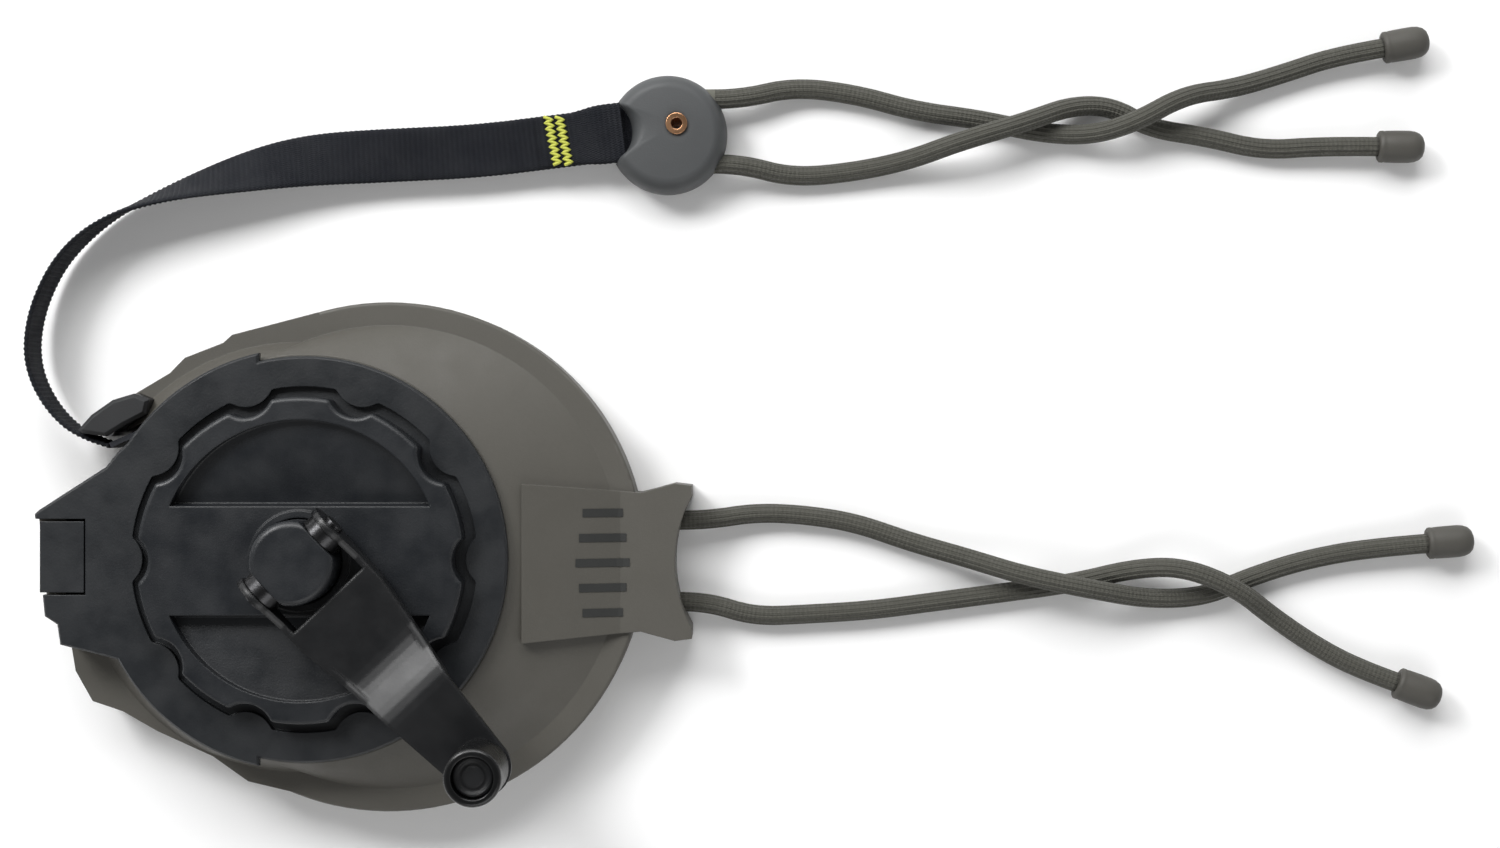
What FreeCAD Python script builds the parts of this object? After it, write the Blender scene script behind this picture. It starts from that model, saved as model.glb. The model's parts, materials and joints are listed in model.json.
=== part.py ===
import FreeCAD, Part
import math
import os
import re
import Sketcher

# Hand-crank gear hoist: a webbing strap wound on a spool in a plastic housing.
# Millimetres. The origin is the crank axis on the rear face, and +Z points out of the front.

V = FreeCAD.Vector
doc = FreeCAD.newDocument("gear_hoist")
sheet = doc.addObject("Spreadsheet::Sheet", "Dims")

SIZES = {
    # housing
    "shell_radius": 60, "shell_offset": 18, "split_z": 12, "rim_z": 14, "rim_step": 5.5,
    "top_z": 22.5, "rear_wall": 2.5, "rear_skin": 0.8, "rim_wall": 5.5, "roof": 1.9,
    "left_offset": -3.5, "left_foot_radius": 50.5, "guide_top": 20.5, "wear_pin_radius": 1.2,
    "tab_reach": 11.3, "tab_half": 18.5, "tab_y": -1.2, "tab_rise": 0.9, "tab_waist": 2.2,
    "tab_flare": 12, "tab_corner": 4, "tab_neck": 4, "tab_start": 50,
    "screw_radius": 1.4, "screw_head": 2.8, "screw_head_height": 1.8,
    "screw_top": 13.2, "post_radius": 3.6, "post_ring": 50,
    # black bezel and cap
    "bezel_radius": 47, "bezel_step": 1.9, "bezel_step_x": -10.5, "bezel_thick": 2.5,
    "bezel_edge": 0.5, "groove_floor": 0.8, "groove_radius": 40, "crown_margin": 0.4,
    "lobe_radius": 37.5, "lobe_depth": 2.7, "notch_radius": 6.5,
    "notch_corner": 1.3, "cap_edge": 1, "cap_height": 7.6, "moon_radius": 32.3,
    "moon_chord": 13, "moon_depth": 4.2, "moon_tilt": 7, "lip_radius": 11.6, "lip_height": 0.9,
    # spool and strap
    "flange_radius": 46, "front_flange_radius": 43.5, "flange_thick": 1.4, "drum_radius": 14,
    "coil_radius": 42, "strap_width": 12.7, "strap_thick": 1.2, "fit": 0.04,
    "spool_gap": 1.1, "front_gap": 0.6, "coil_gap": 0.1, "anchor_radius": 1.2, "anchor_x": 11.8,
    "strap_deck": 5.3, "bushing_wall": 2.4, "turning_gap": 1.2,
    # crank
    "axle_radius": 4, "axle_depth": 10, "axle_screw_radius": 1.5, "axle_screw_length": 13,
    "axle_screw_head": 3, "axle_screw_seat": 1.9, "washer_radius": 3.9,
    "boss_radius": 9.6, "boss_flat": 7.8, "boss_height": 20.5,
    "pin_height": 15.5, "pin_radius": 2.4, "ear_radius": 5.5, "arm_angle": -46.6,
    "arm_length": 62.4, "arm_half_hub": 12.2, "arm_half_crease": 8.5, "arm_half_tip": 6.8,
    "arm_thick": 1.5, "arm_rise": 4.5, "web_start": 11.6, "web_lift": 1.6,
    "knob_radius": 6.4, "knob_height": 17.5, "knob_bore": 3, "knob_rim": 4.7,
    # brake
    "brake_pivot": -50.5, "brake_tip": -61, "brake_half": 8.2, "brake_y": 0.6, "slit": 0.6,
    "brake_arm_half": 3, "brake_arm_end": -39.5, "brake_pin_radius": 0.6, "pin_seat": 1,
    # cords and toggle
    "cord_radius": 2.35, "cord_cap_radius": 3.9, "cord_cap_length": 10.8, "tie_z": 4.2,
    "tie_bend": 13.3, "toggle_radius": 14.2, "toggle_x": 83.4, "toggle_y": 100.2,
    "toggle_height": 11, "toggle_z": 5.2, "toggle_bite": 8, "rivet_x": 85.6, "rivet_y": 102.4,
    "rivet_radius": 1.8, "rivet_flange": 0.75, "rivet_hole": 1.35, "toggle_bend_x": 88.2,
}
for row, (name, value) in enumerate(SIZES.items(), start=1):
    sheet.set(f"A{row}", name)
    sheet.set(f"B{row}", str(value))
    sheet.setAlias(f"B{row}", name)
doc.recompute()


def size(expression):
    """The number that an expression over the sheet's names gives."""
    return float(sheet.evalExpression(expression))


def linked(expression):
    """The same expression, written so that another object can follow the sheet."""
    return re.sub(r"[a-z_]+", lambda word: "Dims." + word.group(), expression)


def plane(body, role):
    return next(item for item in body.Origin.OriginFeatures if item.Role == role)


def new_sketch(body, name, role):
    sketch = body.newObject("Sketcher::SketchObject", name)
    sketch.AttachmentSupport = (plane(body, role), [""])
    sketch.MapMode = "FlatFace"
    return sketch


def bind(sketch, *parts):
    """Add a dimension whose value follows the sheet."""
    index = sketch.addConstraint(Sketcher.Constraint(*parts[:-1], size(parts[-1])))
    sketch.setExpression(f"Constraints[{index}]", linked(parts[-1]))


def draw_outline(sketch, points):
    """A closed outline whose every corner follows two expressions."""
    places = [V(size(across), size(up), 0) for across, up in points]
    sides = []
    for start, end in zip(places, places[1:] + places[:1]):
        sides.append(sketch.addGeometry(Part.LineSegment(start, end), False))
    for side, following in zip(sides, sides[1:] + sides[:1]):
        sketch.addConstraint(Sketcher.Constraint("Coincident", side, 2, following, 1))
    for side, (across, up) in zip(sides, points):
        bind(sketch, "DistanceX", -1, 1, side, 1, across)
        bind(sketch, "DistanceY", -1, 1, side, 1, up)


def turned(name, points):
    """A body of revolution about the crank axis, from its half section (radius, height)."""
    body = doc.addObject("PartDesign::Body", name)
    sketch = new_sketch(body, name + "_section", "XZ_Plane")
    draw_outline(sketch, points)
    turn = body.newObject("PartDesign::Revolution", name + "_turn")
    turn.Profile = sketch
    turn.ReferenceAxis = (sketch, ["V_Axis"])
    turn.Angle = 360
    doc.recompute()
    return body


def ring_section(inner, outer, low, high):
    return [(inner, low), (outer, low), (outer, high), (inner, high)]


def rod(name, radius, low, high, x="0", y="0"):
    """An upright bound cylinder; every argument after the name is an expression."""
    item = doc.addObject("Part::Cylinder", name)
    item.setExpression("Radius", linked(radius))
    item.setExpression("Height", linked(f"({high}) - ({low})"))
    for axis, expression in (("x", x), ("y", y), ("z", low)):
        item.setExpression(f".Placement.Base.{axis}", linked(expression))
    doc.recompute()
    return item


def shaped(name, shape):
    """A sub-part whose shape is set directly."""
    item = doc.addObject("Part::Feature", name)
    item.Shape = shape
    return item


def cylinder(radius, low, high, x=0.0, y=0.0):
    return Part.makeCylinder(radius, high - low, V(x, y, low))


def box(x_low, x_high, y_low, y_high, low, high):
    return Part.makeBox(x_high - x_low, y_high - y_low, high - low, V(x_low, y_low, low))


def prism(points, low, high):
    corners = [V(x, y, low) for x, y in points]
    face = Part.Face(Part.makePolygon(corners + corners[:1]))
    return face.extrude(V(0, 0, high - low))


# ---------------------------------------------------------------- housing outline
def housing_circle(radius, low, high):
    return cylinder(radius, low, high, size("shell_offset"))


SNOUT_TOP = [(1.4, 57.6), (-18.9, 52.3), (-21, 50.4), (-30, 46.9), (-33.5, 43.3), (-43.4, 37.4)]
SNOUT_MOUTH = [(-43.4, 21.4), (-57.5, 12.6), (-57.5, -16)]
SNOUT_BELOW = [(-55.7, -26.8), (-51.7, -33.9), (-44.6, -36.3), (-36.4, -41), (-23.4, -46.9),
               (-15.1, -52.8), (-2.1, -55.9), (7.3, -58.2)]


def snout(low, high):
    return prism(SNOUT_TOP + SNOUT_MOUTH + SNOUT_BELOW + [(30, 0)], low, high)


def tab_end():
    return size("shell_offset + shell_radius + tab_reach")


def tab(low, high):
    """The right tab, with flared corners and a concave end."""
    middle, half = size("tab_y"), size("tab_half")
    start, end, neck = size("tab_start"), tab_end(), size("tab_neck")
    flare, corner, waist = end - size("tab_flare"), end - size("tab_corner"), half - size("tab_waist")
    blunt, span = half - 0.5, half - 3
    below = [(start, -half), (flare, -waist), (corner, -half), (end, -blunt), (end, -span)]
    above = [(x, -y) for x, y in reversed(below)]
    block = prism([(x, middle + y) for x, y in below + above], low, high)
    bite_radius = (span ** 2 + neck ** 2) / (2 * neck)
    bite = cylinder(bite_radius, low - 1, high + 1, end + bite_radius - neck, middle)
    return block.cut(bite)


def tab_plate(low):
    """The tab's raised face: it runs down the cone and then level to the tab's end."""
    rim, rise, start = size("rim_z"), size("tab_rise"), size("tab_start")
    foot, crown = size("shell_offset + shell_radius - rim_step"), size("bezel_radius + crown_margin")
    slope = (size("top_z") - rim) / (foot - crown)
    side = [(start, low), (start, rim + rise + slope * (foot - start)), (foot, rim + rise),
            (tab_end() + 1, rim + rise), (tab_end() + 1, low)]
    corners = [V(x, -40, z) for x, z in side]
    wedge = Part.Face(Part.makePolygon(corners + corners[:1])).extrude(V(0, 80, 0))
    return wedge.common(tab(low, size("top_z")))


def cavity(low, high):
    """The hollow that the spool turns in, and the crescent beside it."""
    wide_top = min(high, size("split_z + 0.6"))
    wide = housing_circle(size("shell_radius - rim_wall"), low, wide_top)
    spool_room = cylinder(size("flange_radius + turning_gap"), low, wide_top)
    upper = cylinder(size("front_flange_radius + turning_gap"), low, high)
    return wide.fuse(spool_room).fuse(upper)


def screw_places():
    ring, offset = size("post_ring"), size("shell_offset")
    right = [(offset + ring * math.cos(math.radians(turn)), ring * math.sin(math.radians(turn)))
             for turn in (-70, -25, 25, 70)]
    return right + [(-33, 39.4), (-39.5, -33.5)]


def strap_channel(low, high):
    """The slot that leads the strap from the spool to the mouth."""
    slot = box(-2.5, 26, -2.1, 2.1, low, high)
    slot.rotate(V(0, 0, 0), V(0, 0, 1), 180 + 22.2)
    slot.translate(V(-29, 33.4, 0))
    return slot


def brake_room():
    """The pocket under the press tongue, with its spring well and the shallow recess it dips into."""
    middle, half, top = size("brake_y"), size("brake_half"), size("top_z")
    floor, slack = size("split_z + 1.5"), half + size("slit")
    room = box(-56, size("brake_arm_end + 1"), middle - slack, middle + slack, floor, top + 1)
    well = box(-59.9, -55, middle - 3.4, middle + 3.4, floor, top + 1)
    recess = box(size("brake_tip - 3"), -55, middle - slack, middle + slack, top - 1.2, top + 1)
    return room.fuse(well).fuse(recess).fuse(brake_pin(size("brake_pin_radius + fit")))


def brake_pin(radius):
    """The tongue's pivot: its ends sit in the walls beside the pocket."""
    half = size("brake_half + slit + pin_seat")
    height = size("top_z - (roof + 0.7) / 2")
    return Part.makeCylinder(radius, 2 * half, V(size("brake_pivot"), size("brake_y") - half, height), V(0, 1, 0))


# ---------------------------------------------------------------- cords
def smooth_route(points, note=""):
    """Straight runs joined by tangent arcs, each arc as large as its two runs allow."""
    edges = []
    here = points[0]
    radii = []
    for before, corner, after in zip(points, points[1:], points[2:]):
        inward, outward = corner - before, after - corner
        reach = 0.45 * min(inward.Length, outward.Length)
        inward.normalize()
        outward.normalize()
        half_turn = inward.getAngle(outward) / 2
        radius = reach / math.tan(half_turn)
        start, end = corner - inward * reach, corner + outward * reach
        middle = corner + (outward - inward).normalize() * (radius / math.cos(half_turn) - radius)
        edges.append(Part.LineSegment(here, start).toShape())
        edges.append(Part.Arc(start, middle, end).toShape())
        radii.append(radius)
        here = end
    edges.append(Part.LineSegment(here, points[-1]).toShape())
    wire = Part.Wire(edges)
    if note:
        print(f"{note}: {wire.Length:.1f} long, tightest arc {min(radii):.1f}")
    return wire


def swept_round(points, radius, note=""):
    wire = smooth_route(points, note)
    section = Part.Wire([Part.Circle(points[0], points[1] - points[0], radius).toShape()])
    tube = wire.makePipeShell([section], True, False)
    expected = wire.Length * math.pi * radius ** 2
    if abs(tube.Volume / expected - 1) > 0.02:
        raise ValueError(f"cord volume {tube.Volume:.0f} is not {expected:.0f}")
    return tube


def swept_ribbon(points, across, tall, note=""):
    """A flat strap whose section stays upright: across is level, tall is along Z."""
    wire = smooth_route(points, note)
    ahead = points[1] - points[0]
    side = V(-ahead.y, ahead.x, 0).normalize() * (across / 2)
    rise = V(0, 0, tall / 2)
    start = points[0]
    corners = [start + side + rise, start - side + rise, start - side - rise, start + side - rise]
    shell = Part.BRepOffsetAPI.MakePipeShell(wire)
    shell.setBiNormalMode(V(0, 0, 1))
    shell.add(Part.makePolygon(corners + corners[:1]))
    shell.build()
    shell.makeSolid()
    return shell.shape()


def places(rows):
    return [V(*row) for row in rows]


def moved(route, shift):
    return [place + V(shift, 0, 0) for place in route]


def bend_route(x_mouth, y_low, y_high, x_bend, height):
    """A flat U: in along one leg, round a half circle, and out along the other."""
    middle, radius = (y_low + y_high) / 2, (y_high - y_low) / 2
    edges = [Part.LineSegment(V(x_mouth, y_high, height), V(x_bend, y_high, height)).toShape(),
             Part.Arc(V(x_bend, y_high, height), V(x_bend - radius, middle, height),
                      V(x_bend, y_low, height)).toShape(),
             Part.LineSegment(V(x_bend, y_low, height), V(x_mouth, y_low, height)).toShape()]
    return Part.Wire(edges)


def bend_tube(route, radius):
    start = route.Edges[0].Vertexes[0].Point
    section = Part.Wire([Part.Circle(start, V(-1, 0, 0), radius).toShape()])
    return route.makePipeShell([section], True, False)


# ---------------------------------------------------------------- housing
TIE_LOW, TIE_HIGH = -11.2, 8.3
TIE_EXIT = 86.5 - 89.3 + tab_end()
TOGGLE_LOW, TOGGLE_HIGH = 93.4, 108.9
TOGGLE_EXIT = 94.7


def tie_bend():
    return bend_route(TIE_EXIT, TIE_LOW, TIE_HIGH, tab_end() - size("tie_bend"), size("tie_z"))


def tie_tunnel():
    route = bend_route(TIE_EXIT + 4, TIE_LOW, TIE_HIGH, tab_end() - size("tie_bend"), size("tie_z"))
    return bend_tube(route, size("cord_radius + 0.1"))


def make_rear_shell():
    low, high = 0, size("split_z")
    shell = housing_circle(size("shell_radius"), low, high).fuse(snout(low, high))
    shell = shell.fuse(tab(low, high))
    shell = shell.cut(cavity(size("rear_wall"), high + 1))
    shell = shell.cut(strap_channel(4.4, high + 1)).cut(horn_block(-1, high + 1, 0.06))
    for x, y in screw_places():
        post = cylinder(size("post_radius"), low, high, x, y)
        shell = shell.fuse(post).cut(cylinder(size("screw_radius + fit"), -1, high + 1, x, y))
        head = size("screw_head_height") + 0.2
        shell = shell.cut(cylinder(size("screw_head") + 0.15, -1, head, x, y))
    pocket = size("axle_radius + bushing_wall + fit")
    shell = shell.cut(cylinder(pocket, size("rear_skin"), size("rear_wall + 1")))
    shell = shell.cut(tie_tunnel())
    return shaped("rear_shell", shell.removeSplitter())


def bezel_outline(low, high):
    """The black plate: a disc with the nose that reaches to the left edge."""
    nose = [(-40.5, 27.3), (-43.2, 24.7), (-45.8, 21.4), (-61.2, 11.5), (-62.3, 10.5),
            (-60, -13.1), (-57.1, -15), (-56.4, -19.7), (-42.3, -23.3), (-37, -28), (-20, 0)]
    disc = cylinder(size("bezel_radius"), low, high)
    wider = cylinder(size("bezel_radius + bezel_step"), low, high)
    wider = wider.common(box(-80, size("bezel_step_x"), -80, 80, low, high))
    return disc.fuse(wider).fuse(prism(nose, low, high)).removeSplitter()


def cone_to_bezel(offset, foot_radius):
    """A slanted cone from a circle on the rim up to the bezel."""
    rings = [Part.Circle(V(offset, 0, size("rim_z")), V(0, 0, 1), foot_radius),
             Part.Circle(V(0, 0, size("top_z")), V(0, 0, 1), size("bezel_radius + crown_margin"))]
    return Part.makeLoft([Part.Wire([ring.toShape()]) for ring in rings], True, True)


def make_front_shell():
    split, rim, top = size("split_z"), size("rim_z"), size("top_z")
    cone = cone_to_bezel(size("shell_offset"), size("shell_radius - rim_step"))
    band = housing_circle(size("shell_radius"), split, rim)
    band = band.makeFillet(0.8, [edge for edge in band.Edges if edge.CenterOfMass.z > rim - 0.1])
    left_cone = cone_to_bezel(size("left_offset"), size("left_foot_radius")).common(snout(split, top))
    shell = band.fuse(snout(split, rim)).fuse(cone).fuse(left_cone)
    shell = shell.fuse(tab_plate(split))
    under_nose = bezel_outline(split, top)
    trimmed = under_nose.common(box(-70, -20, -40, 40, split, top))
    trimmed = trimmed.cut(box(-70, -43.5, 20, 40, split, top))
    shell = shell.fuse(trimmed)
    shell = shell.cut(cavity(split - 1, top - size("roof")))
    shell = shell.cut(strap_channel(split - 1, 19)).cut(brake_room())
    shell = shell.cut(horn_block(split - 1, top + 1, 0.06))
    for x, y in screw_places():
        shell = shell.cut(cylinder(size("screw_radius + fit"), split - 1, size("screw_top + 0.4"), x, y))
    shell = shell.cut(cylinder(size("boss_radius + bushing_wall + fit"), top - 5, top + 1))
    return shaped("front_shell", shell.removeSplitter())


def scallop(radius, low, high):
    """A disc with ten lobes; radius is that of the lobes."""
    depth = size("lobe_depth")
    disc = cylinder(radius, low, high)
    notch_radius, corner = size("notch_radius"), size("notch_corner")
    for number in range(10):
        turn = math.radians(36 * number)
        reach = radius - depth + notch_radius
        notch = cylinder(notch_radius, low - 1, high + 1, reach * math.cos(turn), reach * math.sin(turn))
        disc = disc.cut(notch)
    return disc.makeFillet(corner, [e for e in disc.Edges if e.BoundBox.ZLength > high - low - 0.01])


def make_bezel_plate():
    low = size("top_z")
    high = low + size("bezel_thick")
    plate = bezel_outline(low, high)
    plate = plate.makeChamfer(size("bezel_edge"), [e for e in plate.Edges if e.BoundBox.ZMin > high - 0.01])
    plate = plate.cut(scallop(size("groove_radius"), low + size("groove_floor"), high + 1))
    plate = plate.cut(cylinder(size("boss_radius + bushing_wall"), low - 1, high + 1))
    slit, middle, half = size("slit"), size("brake_y"), size("brake_half")
    window = box(size("brake_tip") - 5, size("brake_pivot"), middle - half - slit, middle + half + slit,
                 low - 1, high + 1)
    return shaped("bezel_plate", plate.cut(window).removeSplitter())


def make_drum_cap():
    low = size("top_z + groove_floor")
    high = low + size("cap_height")
    cap = scallop(size("lobe_radius"), low, high)
    cap = cap.makeFillet(size("cap_edge"), [e for e in cap.Edges if e.BoundBox.ZMin > high - 0.01])
    well = cylinder(size("moon_radius"), high - 10, high + 1)
    for side in (-1, 1):
        block = box(-50, 50, 0, 50, 0, 20)
        block.rotate(V(0, 0, 0), V(1, 0, 0), size("moon_tilt"))
        block.translate(V(0, size("moon_chord"), high - size("moon_depth")))
        if side < 0:
            block.rotate(V(0, 0, 0), V(0, 0, 1), 180)
        cap = cap.cut(well.common(block))
    cap = cap.fuse(cylinder(size("lip_radius"), high - 1, high + size("lip_height")))
    cap = cap.cut(cylinder(size("boss_radius + 0.3"), low - 1, high + 5))
    return shaped("drum_cap", cap.removeSplitter())


WEAR_PIN = (-46.6, 29.6)


def horn_block(low, high, slack=0.0):
    """The horn's outline; slack widens the pocket that it sits in."""
    crest = [(-53.6, 29.9), (-50.5, 33.4), (-45.5, 36.9), (-40.5, 38.4), (-37, 37.0)]
    lower_edge = [(-37.8, 33.6), (-43, 30.9), (-47, 28.4), (-52.6, 29.2)]
    block = prism(crest + lower_edge, low, high)
    return block.makeOffsetShape(slack, 0.01, join=2) if slack else block


def make_strap_guide():
    """The dark horn over the mouth; the strap bends round its lower edge."""
    horn = horn_block(0.3, size("guide_top"))
    top = size("guide_top")
    horn = horn.makeChamfer(0.8, [e for e in horn.Edges if e.BoundBox.ZMin > top - 0.01])
    horn = horn.cut(cylinder(size("wear_pin_radius + fit"), 2, 19, *WEAR_PIN))
    shaped("strap_guide", horn)
    x, y = WEAR_PIN
    rod("strap_wear_pin", "wear_pin_radius", "2.1", "18.9", str(x), str(y))


def make_bushings():
    rear = ring_section("axle_radius + fit", "axle_radius + bushing_wall", "rear_skin", "rear_wall + 0.6")
    turned("rear_bushing", rear)
    front = ring_section("boss_radius + fit", "boss_radius + bushing_wall", "top_z - roof",
                         "top_z + groove_floor - 0.1")
    turned("front_bushing", front)


def make_shell_screws():
    screws = []
    for x, y in screw_places():
        shank = cylinder(size("screw_radius"), 0.4, size("screw_top"), x, y)
        head = cylinder(size("screw_head"), 0.2, 0.2 + size("screw_head_height"), x, y)
        drive = box(x - 1.6, x + 1.6, y - 0.3, y + 0.3, 0, 0.9)
        cross = box(x - 0.3, x + 0.3, y - 1.6, y + 1.6, 0, 0.9)
        screws.append(shank.fuse(head).cut(drive).cut(cross))
    return shaped("shell_screws", Part.makeCompound(screws))


# ---------------------------------------------------------------- spool
SPOOL_LOW, SPOOL_FRONT = "rear_wall + spool_gap", "top_z - roof - front_gap"
COIL_LOW, COIL_HIGH = SPOOL_LOW + " + flange_thick + coil_gap", SPOOL_FRONT + " - flange_thick - coil_gap"


def make_spool():
    low, front, thick = size(SPOOL_LOW), size(SPOOL_FRONT), size("flange_thick")
    drum = cylinder(size("flange_radius"), low, low + thick)
    drum = drum.fuse(cylinder(size("drum_radius"), low, front - thick))
    drum = drum.fuse(cylinder(size("boss_radius"), low, front))
    drum = drum.cut(cylinder(size("axle_radius + fit"), low - 1, front + 1))
    anchor = cylinder(size("anchor_radius + fit"), low + thick, front - thick + 0.1, size("anchor_x"), 0)
    shaped("spool_drum", drum.cut(anchor).removeSplitter())
    flange_low = SPOOL_FRONT + " - flange_thick"
    ring = ring_section("boss_radius + fit", "front_flange_radius", flange_low, SPOOL_FRONT)
    turned("spool_front_flange", ring)
    turned("strap_coil", ring_section("drum_radius + fit", "coil_radius", COIL_LOW, COIL_HIGH))
    rod("strap_anchor_pin", "anchor_radius", COIL_LOW, COIL_HIGH, "anchor_x")


def make_axle():
    """The steel axle, with the screw and washer that hold it from behind."""
    top, bore = "top_z + boss_height - axle_depth", "axle_screw_length + 1"
    low, hollow = "rear_wall + 0.1", "axle_screw_radius + fit"
    turned("crank_axle", [(hollow, low), ("axle_radius", low), ("axle_radius", top), ("0", top),
                          ("0", bore), (hollow, bore)])
    seat, head = "axle_screw_seat", "axle_screw_head"
    turned("axle_screw", [("0", "rear_skin + 0.2"), (head, "rear_skin + 0.2"), (head, seat),
                          ("axle_screw_radius", seat), ("axle_screw_radius", "axle_screw_length"),
                          ("0", "axle_screw_length")])
    turned("axle_washer", ring_section(hollow, "washer_radius", "axle_screw_seat + fit", "rear_wall + 0.08"))


def make_boss():
    front, pin, top = size(SPOOL_FRONT), size("top_z + pin_height"), size("top_z + boss_height")
    boss = cylinder(size("boss_radius"), front + 0.02, top)
    boss = boss.makeFillet(1.6, [e for e in boss.Edges if e.BoundBox.ZMin > top - 0.01])
    flat, waist = size("boss_flat"), pin - 7
    flattened = box(-20, 20, -flat, flat, waist, top + 1)
    boss = boss.common(flattened.fuse(box(-20, 20, -20, 20, 0, waist)))
    boss.rotate(V(0, 0, 0), V(0, 0, 1), size("arm_angle"))
    boss = boss.cut(cylinder(size("axle_radius + fit"), front - 1, top - size("axle_depth")))
    boss = boss.cut(across_pin(size("pin_radius + fit"), 30))
    shaped("crank_boss", boss)
    shaped("crank_hinge_pin", across_pin(size("pin_radius"), 2 * size("arm_half_hub + 0.8")))


def across_pin(radius, length, middle=0.0):
    """A cylinder along the fold axis of the crank, level through the boss."""
    pin = Part.makeCylinder(radius, length, V(0, middle - length / 2, size("top_z + pin_height")), V(0, 1, 0))
    pin.rotate(V(0, 0, 0), V(0, 0, 1), size("arm_angle"))
    return pin


# ---------------------------------------------------------------- crank
def aimed(shape):
    """Turn a piece drawn along +X into the direction of the crank arm."""
    shape.rotate(V(0, 0, 0), V(0, 0, 1), size("arm_angle"))
    return shape


def arm_profile(thick_low, thick_high):
    """Side view of the arm's web: level, a large-radius rise, then level to the tip."""
    pin = size("top_z + pin_height")
    low = pin + size("web_lift")
    rise = size("arm_rise")
    start, end = size("web_start"), size("arm_length") + size("arm_half_tip")
    steps = 8
    line = [(start, low), (28, low)]
    line += [(28 + 15 * k / steps, low + rise * (1 - math.cos(math.pi * k / steps)) / 2)
             for k in range(1, steps)]
    line += [(43, low + rise), (end, low + rise)]
    upper = [(u, z + thick_high) for u, z in line]
    lower = [(u, z + thick_low) for u, z in reversed(line)]
    return upper + lower


def side_prism(points, half_width):
    corners = [V(u, -half_width, z) for u, z in points]
    return Part.Face(Part.makePolygon(corners + corners[:1])).extrude(V(0, 2 * half_width, 0))


def arm_plan(shrink, low, high):
    """The arm seen from above: it tapers from the fork to the rounded tip."""
    hub, crease, tip = (size(name) - shrink for name in ("arm_half_hub", "arm_half_crease", "arm_half_tip"))
    end = size("arm_length")
    plan = prism([(-12, hub), (16, hub), (44, crease), (end, tip), (end, -tip), (44, -crease), (16, -hub),
                  (-12, -hub)], low, high)
    return plan.fuse(cylinder(tip, low, high, end, 0))


def make_crank():
    thick = size("arm_thick")
    pin = size("top_z + pin_height")
    low, high = pin - 12, pin + 14
    web = side_prism(arm_profile(-thick, 0), 20).common(arm_plan(0, low, high))
    wall_section = [(0, pin - size("ear_radius")), (20, pin - 3.6), (41, pin + 2), (43.5, pin + 5.6),
                    (28, pin + size("web_lift") + 0.2), (20, pin + size("web_lift") - 0.1),
                    (9, pin + size("web_lift")), (0, pin + size("ear_radius"))]
    walls = side_prism(wall_section, 20)
    ear = Part.makeCylinder(size("ear_radius"), 40, V(0, -20, pin), V(0, 1, 0))
    skin = arm_plan(0, low, high).cut(arm_plan(thick, low - 1, high + 1))
    walls = walls.fuse(ear).common(skin)
    arm = web.fuse(walls).cut(Part.makeCylinder(size("pin_radius + fit"), 60, V(0, -30, pin), V(0, 1, 0)))
    tip_x = size("arm_length")
    arm = arm.cut(cylinder(size("knob_bore") - 0.4, low, high, tip_x, 0))
    shaped("crank_arm", aimed(arm.removeSplitter()))
    gap = size("boss_flat") + 0.08
    inner = size("arm_half_hub") - thick - 0.08
    washers = []
    for side in (-1, 1):
        ring = Part.makeCylinder(4.9, inner - gap, V(0, gap if side > 0 else -inner, pin), V(0, 1, 0))
        hole = Part.makeCylinder(size("pin_radius + fit"), 60, V(0, -30, pin), V(0, 1, 0))
        washers.append(aimed(ring.cut(hole)))
    shaped("friction_washers", Part.makeCompound(washers))


def make_knob():
    seat = size("top_z + pin_height + web_lift + arm_rise")
    tip_x, bore = size("arm_length"), size("knob_bore")
    low, high = seat + 0.3, seat + 0.3 + size("knob_height")
    thick = size("arm_thick")
    shank = cylinder(bore - 0.45, seat - thick - 0.9, high - 2.4, tip_x, 0)
    foot = cylinder(bore + 0.9, seat - thick - 1.2, seat - thick, tip_x, 0)
    head = cylinder(size("knob_rim") - 0.35, high - 3.4, high - 2.2, tip_x, 0)
    head = head.cut(cylinder(size("knob_rim") - 1.1, high - 2.6, high, tip_x, 0))
    shaped("knob_rivet", aimed(shank.fuse(foot).fuse(head)))
    sleeve = cylinder(size("knob_radius"), low, high, tip_x, 0)
    ends = [e for e in sleeve.Edges if isinstance(e.Curve, Part.Circle)]
    sleeve = sleeve.makeFillet(0.9, ends)
    sleeve = sleeve.cut(cylinder(bore + 0.05, low - 1, high + 1, tip_x, 0))
    sleeve = sleeve.cut(cylinder(size("knob_rim"), high - 3.45, high + 1, tip_x, 0))
    shaped("knob_sleeve", aimed(sleeve))


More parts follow.
